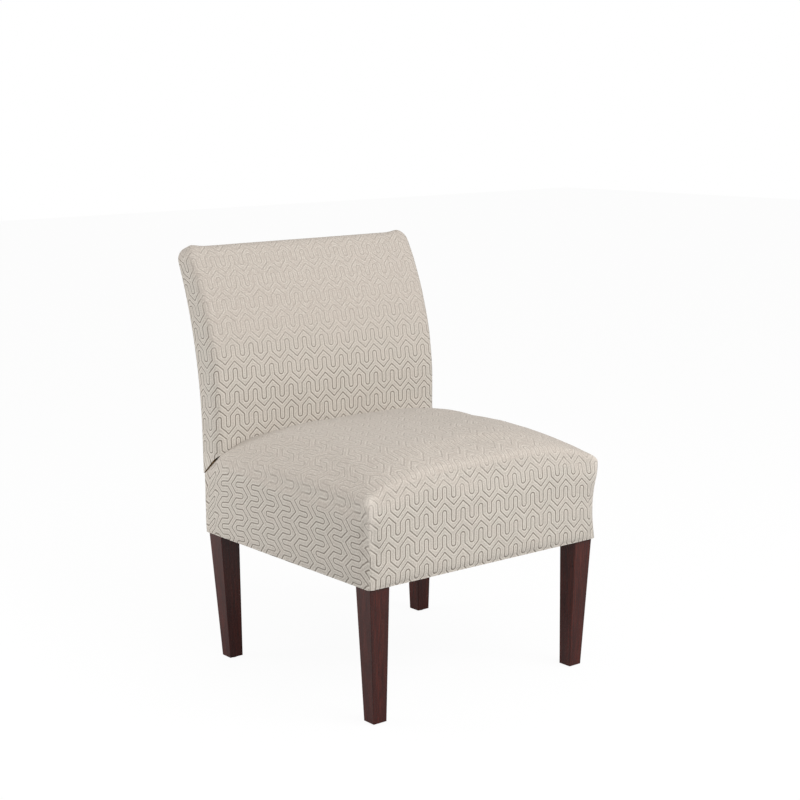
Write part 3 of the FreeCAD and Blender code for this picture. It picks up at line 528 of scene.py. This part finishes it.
def back_shape(x, y, z):
    """A point of the back. y runs from 0 at the front face to the thickness at the rear."""
    side = HALF_WIDTH - BACK_CORNER_RADIUS
    shoulder = BACK_TOP - BACK_CORNER_RADIUS
    over = Vector((abs(x) - side, z - shoulder))
    if over.x > 0 and over.y > 0:
        over *= max(over.x, over.y) / over.length
        x = math.copysign(side + over.x, x)
        z = shoulder + over.y
        edge = BACK_CORNER_RADIUS - over.length
    else:
        edge = min(HALF_WIDTH - abs(x), BACK_TOP - z)
    radius = BACK_EDGE_RADIUS
    depth = min(y, BACK_THICKNESS - y)
    if edge < radius or depth < radius:
        flat = Vector((max(radius - edge, 0.0), max(radius - depth, 0.0)))
        if flat.length > 1e-9 and flat.x > 0 and flat.y > 0:
            scaled = flat * (max(flat.x, flat.y) / flat.length)
            shift_edge = flat.x - scaled.x
            shift_depth = flat.y - scaled.y
            inward = Vector((abs(x) - side, z - shoulder))
            if inward.x > 0 and inward.y > 0:
                inward.normalize()
            elif HALF_WIDTH - abs(x) < BACK_TOP - z:
                inward = Vector((1.0, 0.0))
            else:
                inward = Vector((0.0, 1.0))
            x -= math.copysign(inward.x * shift_edge, x)
            z -= inward.y * shift_edge
            y += shift_depth if y < BACK_THICKNESS / 2 else -shift_depth
    share = y / BACK_THICKNESS
    ear = BACK_EAR * math.exp(-((HALF_WIDTH - BACK_EAR_INSET - abs(x)) / BACK_EAR_WIDTH) ** 2)
    top = BACK_TOP - BACK_TOP_FALL * share + ear - BACK_EAR / 2
    z = blend(SWEEP_FOOT, top, (z - SWEEP_FOOT) / (BACK_TOP - SWEEP_FOOT))
    front = arc_depth(BACK_FRONT, BACK_FRONT_RADIUS, BACK_FRONT_BEND, z)
    rear = arc_depth(BACK_REAR, BACK_REAR_RADIUS, BACK_REAR_BEND, z)
    place = Vector((x, blend(front, rear, share), z))
    place.z = max(place.z, back_foot(place.y))
    if share < 0.5:
        place.y -= uneven(place, BACK_DENTS)
    place.y += SEAT_FRONT
    return place


def make_back():
    xs = spaced(-HALF_WIDTH, HALF_WIDTH, BACK_EDGE_RADIUS)
    ys = spaced(0, BACK_THICKNESS, BACK_EDGE_RADIUS)
    low = BACK_FOOT
    zs = [z for z in spaced(low - BACK_EDGE_RADIUS, BACK_TOP, BACK_EDGE_RADIUS) if z > low]
    skin = Skin(xs, ys, [low] + zs, back_shape)
    for name in ("front", "left", "right", "top", "rear"):
        skin.panel(name)
    nx, ny, nz = skin.last
    middle = nx // 2
    across = {}
    along = {}
    for k in range(nz + 1):
        lengths = skin.run([(i, 0, k) for i in range(nx + 1)])
        for i in range(nx + 1):
            across[i, k] = lengths[i] - lengths[middle]
    for i in range(nx + 1):
        lengths = skin.run([(i, 0, k) for k in range(nz + 1)])
        for k in range(nz + 1):
            along[i, k] = lengths[k]
    runs = {}

    def beyond(i, j, k):
        if (i, k) not in runs:
            runs[i, k] = skin.run([(i, step, k) for step in range(ny + 1)])
        return runs[i, k][j]

    def cloth(panel, key):
        i, j, k = key
        u = across[i, k] / REPEAT_ACROSS
        v = along[i, k] / REPEAT_ALONG
        if panel == "left":
            u -= beyond(*key) / REPEAT_ACROSS
        elif panel == "right":
            u += beyond(*key) / REPEAT_ACROSS
        elif panel == "top":
            v += beyond(*key) / REPEAT_ALONG
        return (u + BACK_SHIFT_ACROSS, v + BACK_SHIFT_ALONG)

    return skin.mesh("back_upholstery", cloth)


# Outside panel and dust sheet


def panel_shape(x, _, z):
    """A point of the panel: just proud of the rear, with its edges turned in."""
    margin = min(HALF_WIDTH - PANEL_INSET - abs(x), PANEL_TOP - z)
    lift = blend(PANEL_SUNK, PANEL_LIFT, smooth(0, PANEL_HEM, margin))
    y = arc_depth(BACK_REAR, BACK_REAR_RADIUS, BACK_REAR_BEND, z) + lift
    return Vector((x, SEAT_FRONT + y, z))


def make_outside_panel():
    half = HALF_WIDTH - PANEL_INSET
    xs = spaced(-half, half, PANEL_HEM)
    zs = spaced(PANEL_FOOT, PANEL_TOP, PANEL_HEM)
    skin = Skin(xs, [0.0, 1.0], zs, panel_shape)
    skin.panel("rear")
    heights = skin.run([(0, 1, k) for k in range(len(zs))])

    def cloth(_, key):
        return (-xs[key[0]] / REPEAT_ACROSS, heights[key[2]] / REPEAT_ALONG)

    return skin.mesh("back_outside_panel", cloth), (2 * half, heights[-1])


def make_dust_sheet():
    """The cloth under the seat, notched at its corners for the legs."""
    low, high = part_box("dust_cover")
    level = (low[2] + high[2]) / 2
    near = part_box("leg_front_left")[1]
    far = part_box("leg_rear_right")[0]
    notch_x = -near[0] - LEG_SLACK
    notch_front = near[1] + LEG_SLACK
    notch_rear = far[1] - LEG_SLACK

    def lines(start, first, second, end):
        """Grid lines across the sheet, with some on the edges of its notches."""
        inner = int((second - first) / SHEET_STEP)
        runs = [blend(start, first, step / SHEET_NOTCH_STEPS) for step in range(SHEET_NOTCH_STEPS)]
        runs += [blend(first, second, step / inner) for step in range(inner)]
        runs += [blend(second, end, step / SHEET_NOTCH_STEPS) for step in range(SHEET_NOTCH_STEPS)]
        return runs + [end]

    def shape(x, y, _):
        across = 1 - (x / high[0]) ** 2
        along = 1 - ((y - (low[1] + high[1]) / 2) / ((high[1] - low[1]) / 2)) ** 2
        ripple = uneven(Vector((x, y, 0)), SHEET_DENTS)
        return Vector((x, y, level - SHEET_SAG * across * along + ripple * across * along))

    xs = lines(low[0], -notch_x, notch_x, high[0])
    ys = lines(low[1], notch_front, notch_rear, high[1])
    skin = Skin(xs, ys, [0.0, 1.0], shape)
    skin.panel("top")
    kept = []
    for name, corners in skin.faces:
        x = sum(xs[key[0]] for key in corners) / 4
        y = sum(ys[key[1]] for key in corners) / 4
        if abs(x) < notch_x or notch_front < y < notch_rear:
            kept.append((name, list(reversed(corners))))
    skin.faces = kept

    def cloth(_, key):
        return (xs[key[0]] * 10, ys[key[1]] * 10)

    notches = 2 * (high[0] - notch_x) * (notch_front - low[1] + high[1] - notch_rear)
    width, depth = high[0] - low[0], high[1] - low[1]
    return skin.mesh("dust_sheet", cloth), (width, depth), width * depth - notches


# Materials


class Graph:
    """Short calls for building a shader from arithmetic on its sockets."""

    def __init__(self, name):
        self.material = bpy.data.materials.new(name)
        self.material.use_nodes = True
        self.tree = self.material.node_tree
        self.shader = self.tree.nodes["Principled BSDF"]

    def node(self, kind, **settings):
        node = self.tree.nodes.new(kind)
        for name, value in settings.items():
            setattr(node, name, value)
        return node

    def feed(self, socket, value):
        if hasattr(value, "is_output"):
            self.tree.links.new(value, socket)
        else:
            socket.default_value = value

    def math(self, operation, *values):
        node = self.node("ShaderNodeMath", operation=operation)
        for socket, value in zip(node.inputs, values):
            self.feed(socket, value)
        return node.outputs[0]

    def vector(self, operation, *values, output=0):
        node = self.node("ShaderNodeVectorMath", operation=operation)
        for socket, value in zip(node.inputs, values):
            self.feed(socket, value)
        return node.outputs[output]

    def ramp(self, value, low, high, start=0.0, end=1.0):
        """Smooth step of a value from low to high, between start and end."""
        node = self.node("ShaderNodeMapRange", interpolation_type="SMOOTHSTEP")
        for socket, number in zip(node.inputs, (value, low, high, start, end)):
            self.feed(socket, number)
        return node.outputs[0]

    def mix(self, factor, first, second):
        node = self.node("ShaderNodeMix", data_type="RGBA")
        self.feed(node.inputs["Factor"], factor)
        self.feed(node.inputs[6], first)
        self.feed(node.inputs[7], second)
        return node.outputs[2]

    def mix_value(self, factor, first, second):
        node = self.node("ShaderNodeMix", data_type="FLOAT")
        for socket, value in zip(node.inputs, (factor, None, first, second)):
            if value is not None:
                self.feed(socket, value)
        return node.outputs[0]

    def noise(self, vector, scale, detail=2.0, roughness=0.5):
        node = self.node("ShaderNodeTexNoise")
        self.feed(node.inputs["Vector"], vector)
        node.inputs["Scale"].default_value = scale
        node.inputs["Detail"].default_value = detail
        node.inputs["Roughness"].default_value = roughness
        return node.outputs["Fac"]

    def combine(self, x, y, z=0.0):
        node = self.node("ShaderNodeCombineXYZ")
        for socket, value in zip(node.inputs, (x, y, z)):
            self.feed(socket, value)
        return node.outputs[0]

    def separate(self, vector):
        node = self.node("ShaderNodeSeparateXYZ")
        self.feed(node.inputs[0], vector)
        return node.outputs

    def bump(self, height, strength, distance, under=None):
        node = self.node("ShaderNodeBump")
        node.inputs["Strength"].default_value = strength
        node.inputs["Distance"].default_value = distance
        self.feed(node.inputs["Height"], height)
        if under is not None:
            self.feed(node.inputs["Normal"], under)
        return node.outputs[0]

    def set(self, **values):
        for name, value in values.items():
            self.feed(self.shader.inputs[name.replace("_", " ")], value)


def linear(red, green, blue):
    """A colour given as it looks on screen, as the shader's linear values."""
    values = []
    for value in (red, green, blue):
        share = value / 255
        values.append(share / 12.92 if share <= 0.04045 else ((share + 0.055) / 1.055) ** 2.4)
    return (*values, 1.0)


def line_distance(graph, x, y):
    """Distance in millimetres from a point of the folded repeat to the woven line."""
    half = REPEAT_ACROSS * MM / 2
    ends = [(half, 0.0), (LINE_NECK, LINE_SLOPE_TOP), (LINE_NECK, LINE_NECK_TOP)]
    point = graph.combine(x, y)
    nearest = None
    for start, end in zip(ends, ends[1:]):
        run = Vector((end[0] - start[0], end[1] - start[1], 0))
        length = run.length
        direction = tuple(run / length)
        offset = graph.vector("SUBTRACT", point, (start[0], start[1], 0))
        along = graph.vector("DOT_PRODUCT", offset, direction, output=1)
        along = graph.math("MINIMUM", graph.math("MAXIMUM", along, 0.0), length)
        foot = graph.vector("MULTIPLY", graph.combine(along, along, along), direction)
        gap = graph.vector("DISTANCE", offset, foot, output=1)
        nearest = gap if nearest is None else graph.math("MINIMUM", nearest, gap)
    raised = graph.combine(x, graph.math("MAXIMUM", y, LINE_NECK_TOP))
    from_centre = graph.vector("DISTANCE", raised, (0, LINE_NECK_TOP, 0), output=1)
    off_arc = graph.math("ABSOLUTE", graph.math("SUBTRACT", from_centre, LINE_NECK))
    below = graph.math("MAXIMUM", graph.math("SUBTRACT", LINE_NECK_TOP, y), 0.0)
    arc = graph.vector("LENGTH", graph.combine(off_arc, below), output=1)
    return graph.math("MINIMUM", nearest, arc)


def make_fabric():
    graph = Graph("jacquard_fabric")
    coordinates = graph.node("ShaderNodeUVMap", uv_map="Cloth").outputs[0]
    u, v, _ = graph.separate(coordinates)
    across = graph.math("MULTIPLY", graph.math("PINGPONG", u, 0.5), REPEAT_ACROSS * MM)
    tall = REPEAT_ALONG * MM
    up = graph.math("MULTIPLY", v, tall)
    first = line_distance(graph, across, graph.math("WRAP", up, WRAP_TOP * tall, WRAP_FOOT * tall))
    turned_across = graph.math("SUBTRACT", REPEAT_ACROSS * MM / 2, across)
    turned_up = graph.math("SUBTRACT", LINE_TURN_HEIGHT, up)
    turned_up = graph.math("WRAP", turned_up, WRAP_TOP * tall, WRAP_FOOT * tall)
    second = line_distance(graph, turned_across, turned_up)
    distance = graph.math("MINIMUM", first, second)

    cloth_place = graph.vector("MULTIPLY", coordinates, (REPEAT_ACROSS * MM, tall, 1))
    wander = graph.math("SUBTRACT", graph.noise(cloth_place, scale=0.35, detail=3), 0.5)
    wide = graph.math("ADD", distance, graph.math("MULTIPLY", wander, LINE_STRAY))
    groove = graph.ramp(wide, GROOVE_CORE, GROOVE_EDGE, 1.0, 0.0)
    # The rim beside the groove gets a painted highlight.
    edge = graph.math("MULTIPLY", graph.ramp(wide, RIM_START, RIM_FULL), graph.ramp(wide, RIM_END, RIM_FADE))

    # Ribs of yarn 0.7 and 0.9 mm apart along and across, and slubs of a few millimetres.
    x_mm, y_mm, _ = graph.separate(cloth_place)
    rib = graph.math("SINE", graph.math("MULTIPLY", y_mm, RIB_TURN))
    cross_rib = graph.math("SINE", graph.math("MULTIPLY", x_mm, CROSS_RIB_TURN))
    weave = graph.math("MULTIPLY", rib, cross_rib)
    fuzz = graph.noise(cloth_place, scale=1.6, detail=3, roughness=0.6)
    slub_place = graph.vector("MULTIPLY", cloth_place, (0.75, 1.35, 1))
    slub = graph.noise(slub_place, scale=0.42, detail=4, roughness=0.72)

    # Painted sheen and shade where the cloth faces up or lies near the top of the crown: the ground darkens
    # and the lines fade or turn pale.
    up_facing = graph.separate(graph.node("ShaderNodeNewGeometry").outputs["Normal"])[2]
    painted_crown_sheen = graph.node("ShaderNodeAttribute", attribute_name="painted_crown_sheen").outputs["Fac"]
    top_sheen_and_shade = graph.math("MAXIMUM", graph.ramp(up_facing, 0.03, 0.34), graph.math("MULTIPLY", painted_crown_sheen, 0.85))

    lit = linear(*FABRIC_PALE_SLUB_AND_HIGHLIGHT)
    patches = graph.noise(cloth_place, scale=0.03, detail=3)
    ground = graph.mix(graph.ramp(patches, 0.3, 0.7), linear(*FABRIC_WARM), linear(*FABRIC_PALE))
    ground = graph.mix(graph.math("MULTIPLY", top_sheen_and_shade, 0.7), ground, linear(*FABRIC_TOP_SHADED))
    ground = graph.mix(graph.ramp(slub, 0.38, 0.62, 0.95, 0.0), ground, linear(*FABRIC_SHADE))
    ground = graph.mix(graph.ramp(slub, 0.5, 0.68, 0.0, 0.7), ground, lit)
    broken = graph.ramp(graph.noise(cloth_place, scale=0.12, detail=3), 0.38, 0.6)
    lit_share = graph.mix_value(top_sheen_and_shade, 0.65, graph.math("MULTIPLY", broken, 0.6))
    ground = graph.mix(graph.math("MULTIPLY", edge, lit_share), ground, lit)
    # Painted highlight up the front corners of the seat, where the lines fade as well.
    fold_highlight = graph.node("ShaderNodeAttribute", attribute_name="fold_highlight").outputs["Fac"]
    ground = graph.mix(graph.math("MULTIPLY", fold_highlight, 0.5), ground, linear(*FABRIC_FOLD_HIGHLIGHT))
    line_share = graph.mix_value(top_sheen_and_shade, 0.92, graph.ramp(broken, 0.0, 1.0, 0.1, 0.27))
    off_fold_highlight = graph.math("SUBTRACT", 1.0, graph.math("MULTIPLY", fold_highlight, 0.85))
    line_share = graph.math("MULTIPLY", line_share, off_fold_highlight)
    depth = graph.math("MULTIPLY", groove, line_share)
    graph.set(Base_Color=graph.mix(depth, ground, linear(*FABRIC_LINE)))

    relief = graph.math("SUBTRACT", graph.ramp(wide, 0.2, 2.6), graph.math("MULTIPLY", groove, 0.3))
    normal = graph.bump(relief, 0.55, 0.0012)
    fine = graph.math("ADD", graph.math("MULTIPLY", weave, 0.4), graph.math("ADD", fuzz, slub))
    normal = graph.bump(fine, 0.35, 0.0006, normal)
    graph.set(Normal=normal, Roughness=0.78, Sheen_Weight=0.22, Sheen_Roughness=0.4)
    graph.set(Sheen_Tint=(1.0, 0.97, 0.93, 1.0), Specular_IOR_Level=0.3)
    return graph.material


def make_leg_wood():
    """Dark mahogany stain with fine upright grain under a gloss lacquer."""
    graph = Graph("mahogany_lacquer")
    place = graph.node("ShaderNodeTexCoord").outputs["Object"]
    stretched = graph.vector("MULTIPLY", place, (1.0, 1.0, 0.06))
    grain = graph.noise(stretched, scale=260, detail=6, roughness=0.65)
    figure = graph.noise(stretched, scale=45, detail=3)
    drawn_out = graph.vector("MULTIPLY", place, (1, 1, 0.02))
    pores = graph.ramp(graph.noise(drawn_out, scale=900, detail=2), 0.62, 0.72)
    figured = graph.math("MULTIPLY", graph.ramp(figure, 0.4, 0.7), 0.5)
    colour = graph.mix(graph.ramp(grain, 0.35, 0.7), linear(*WOOD_DEEP), linear(*WOOD_WARM))
    colour = graph.mix(figured, colour, linear(*WOOD_FIGURE))
    colour = graph.mix(graph.math("MULTIPLY", pores, 0.5), colour, linear(*WOOD_PORE))
    graph.set(Base_Color=colour, Roughness=0.27, Specular_IOR_Level=0.28)
    graph.set(Coat_Weight=0.4, Coat_Roughness=0.15)
    graph.set(Normal=graph.bump(graph.math("ADD", grain, pores), 0.06, 0.0004))
    return graph.material


def make_plain(name, colour, roughness, scale, strength, metallic):
    """A simple finish broken up by fine noise in colour and bump."""
    graph = Graph(name)
    place = graph.node("ShaderNodeTexCoord").outputs["Object"]
    speckle = graph.noise(place, scale, 4, 0.6)
    lit = linear(*colour)
    shade = tuple(value * SPECKLE_SHADE for value in lit[:3]) + (1.0,)
    graph.set(Base_Color=graph.mix(speckle, shade, lit), Roughness=roughness, Metallic=metallic)
    graph.set(Normal=graph.bump(speckle, strength, 0.0005))
    return graph.material


def paint(node, material):
    mesh = frame["nodes"][node].data
    mesh.materials.clear()
    mesh.materials.append(material)


SLOT_MATERIALS = {slot: make_plain(*finish) for slot, finish in PLAIN_FINISHES.items()}
SLOT_MATERIALS["leg_wood"] = make_leg_wood()
SLOT_MATERIALS["upholstery_fabric"] = make_fabric()
for part in frame["record"]["subparts"]:
    paint(part["node"], SLOT_MATERIALS[part["material_slot"]])

# Assembly


def dress(piece, slot, *nodes):
    """Gives a piece its material, hangs it on the root body and hides the nodes it stands for."""
    piece.data.materials.append(SLOT_MATERIALS[slot])
    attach(piece, "root")
    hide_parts(*nodes)


seat = make_seat()
settle(seat, seat_held, SEAT_SWELL)
subdivide(seat)
dress(seat, "upholstery_fabric", "seat_cover", "seat_foam", "seat_batting", "ledge_batting")

back = make_back()
settle(back, back_held, BACK_SWELL)
subdivide(back)
dress(back, "upholstery_fabric", "back_cover_inside", "back_foam", "back_batting")

panel, panel_cut = make_outside_panel()
dress(panel, "upholstery_fabric", "back_cover_outside")

dust_sheet, sheet_cut, sheet_area = make_dust_sheet()
dress(dust_sheet, "dust_cloth", "dust_cover")

# Studio


def make_camera():
    camera = bpy.data.objects.new("camera", bpy.data.cameras.new("camera"))
    bpy.context.collection.objects.link(camera)
    level = math.cos(CAMERA_ELEVATION)
    backward = Vector((
        math.sin(CAMERA_AZIMUTH) * level,
        -math.cos(CAMERA_AZIMUTH) * level,
        math.sin(CAMERA_ELEVATION),
    ))
    right = (-backward).cross(Vector((0, 0, 1))).normalized()
    up = backward.cross(right)
    cosine, sine = math.cos(CAMERA_ROLL), math.sin(CAMERA_ROLL)
    turned_right = right * cosine + up * sine
    turned_up = up * cosine - right * sine
    turn = Matrix((turned_right, turned_up, backward)).transposed()
    camera.matrix_world = Matrix.Translation(CAMERA_PLACE) @ turn.to_4x4()
    camera.data.lens = CAMERA_LENS
    camera.data.sensor_width = 36.0
    bpy.context.scene.camera = camera


def make_lamp(name, place, target, width, height, power):
    data = bpy.data.lights.new(name, "AREA")
    data.shape = "RECTANGLE"
    data.size = width
    data.size_y = height
    data.energy = power
    lamp = bpy.data.objects.new(name, data)
    lamp.location = place
    lamp.rotation_euler = (Vector(target) - Vector(place)).to_track_quat("-Z", "Y").to_euler()
    bpy.context.collection.objects.link(lamp)


def make_world(strength):
    world = bpy.data.worlds.new("studio")
    bpy.context.scene.world = world
    world.use_nodes = True
    nodes, links = world.node_tree.nodes, world.node_tree.links
    light = nodes["Background"]
    light.inputs["Color"].default_value = (1.0, 0.995, 0.985, 1.0)
    light.inputs["Strength"].default_value = strength
    seen = nodes.new("ShaderNodeBackground")
    seen.inputs["Color"].default_value = (1, 1, 1, 1)
    path = nodes.new("ShaderNodeLightPath")
    mix = nodes.new("ShaderNodeMixShader")
    links.new(path.outputs["Is Camera Ray"], mix.inputs["Fac"])
    links.new(light.outputs[0], mix.inputs[1])
    links.new(seen.outputs[0], mix.inputs[2])
    links.new(mix.outputs[0], nodes["World Output"].inputs["Surface"])


def make_floor(size):
    mesh = bpy.data.meshes.new("floor")
    corners = [(-size, -size, 0), (size, -size, 0), (size, size, 0), (-size, size, 0)]
    mesh.from_pydata(corners, [], [(0, 1, 2, 3)])
    floor = bpy.data.objects.new("floor", mesh)
    bpy.context.collection.objects.link(floor)
    material = bpy.data.materials.new("white_sweep")
    material.use_nodes = True
    nodes, links = material.node_tree.nodes, material.node_tree.links
    nodes.remove(nodes["Principled BSDF"])
    bounce = nodes.new("ShaderNodeBsdfDiffuse")
    bounce.inputs["Color"].default_value = (FLOOR_BOUNCE, FLOOR_BOUNCE, FLOOR_BOUNCE, 1)
    shaded = nodes.new("ShaderNodeBsdfDiffuse")
    shaded.inputs["Color"].default_value = (1, 1, 1, 1)
    white = nodes.new("ShaderNodeEmission")
    seen = nodes.new("ShaderNodeMixShader")
    seen.inputs["Fac"].default_value = FLOOR_GLOW
    links.new(shaded.outputs[0], seen.inputs[1])
    links.new(white.outputs[0], seen.inputs[2])
    path = nodes.new("ShaderNodeLightPath")
    mix = nodes.new("ShaderNodeMixShader")
    links.new(path.outputs["Is Camera Ray"], mix.inputs["Fac"])
    links.new(bounce.outputs[0], mix.inputs[1])
    links.new(seen.outputs[0], mix.inputs[2])
    links.new(mix.outputs[0], nodes["Material Output"].inputs["Surface"])
    mesh.materials.append(material)


make_camera()
make_world(WORLD_STRENGTH)
make_floor(FLOOR_HALF_SIZE)
for lamp in LAMPS:
    make_lamp(*lamp)
bpy.context.scene.view_settings.view_transform = "Standard"
